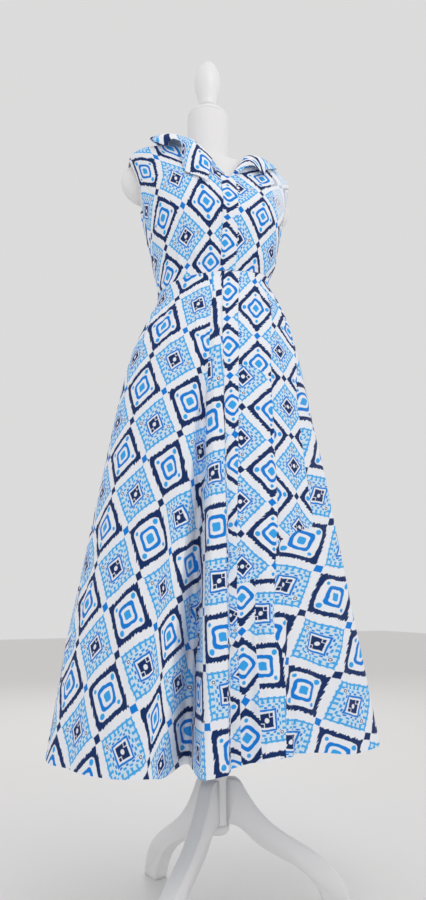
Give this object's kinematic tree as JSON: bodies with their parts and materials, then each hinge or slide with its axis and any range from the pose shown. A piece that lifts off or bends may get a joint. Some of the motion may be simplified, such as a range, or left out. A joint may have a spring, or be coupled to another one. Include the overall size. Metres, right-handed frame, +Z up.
{
  "type": "shirt dress on a dress form",
  "caption": "Sleeveless shirt dress with an open collar, front placket and flared long skirt, worn on a limbless dress form with a three-legged stand.",
  "frame": {"origin": "on the floor, under the middle of the stand's pole and of the whole part", "axes": "+Z up along the pole, -Y to the dress's front, +X to the wearer's left"},
  "size_m": [0.6192, 0.5243, 1.7988],
  "materials": {
    "printed_cotton": "white cotton poplin with a blue and navy diamond print",
    "form_cover": "white jersey stretched over the form",
    "painted_wood": "white satin paint"
  },
  "bodies": {
    "root": {"form_torso": "form_cover", "form_neck_cap": "painted_wood", "form_knob": "painted_wood", "stand_pole": "painted_wood", "stand_pole_cap": "painted_wood", "stand_leg_1": "painted_wood", "stand_leg_2": "painted_wood", "stand_leg_3": "painted_wood", "bodice_front_left": "printed_cotton", "bodice_front_right": "printed_cotton", "bodice_back": "printed_cotton", "skirt_front_left": "printed_cotton", "skirt_front_right": "printed_cotton", "skirt_back": "printed_cotton", "placket_bodice": "printed_cotton", "placket_skirt": "printed_cotton", "collar": "printed_cotton"}
  },
  "joints": []
}
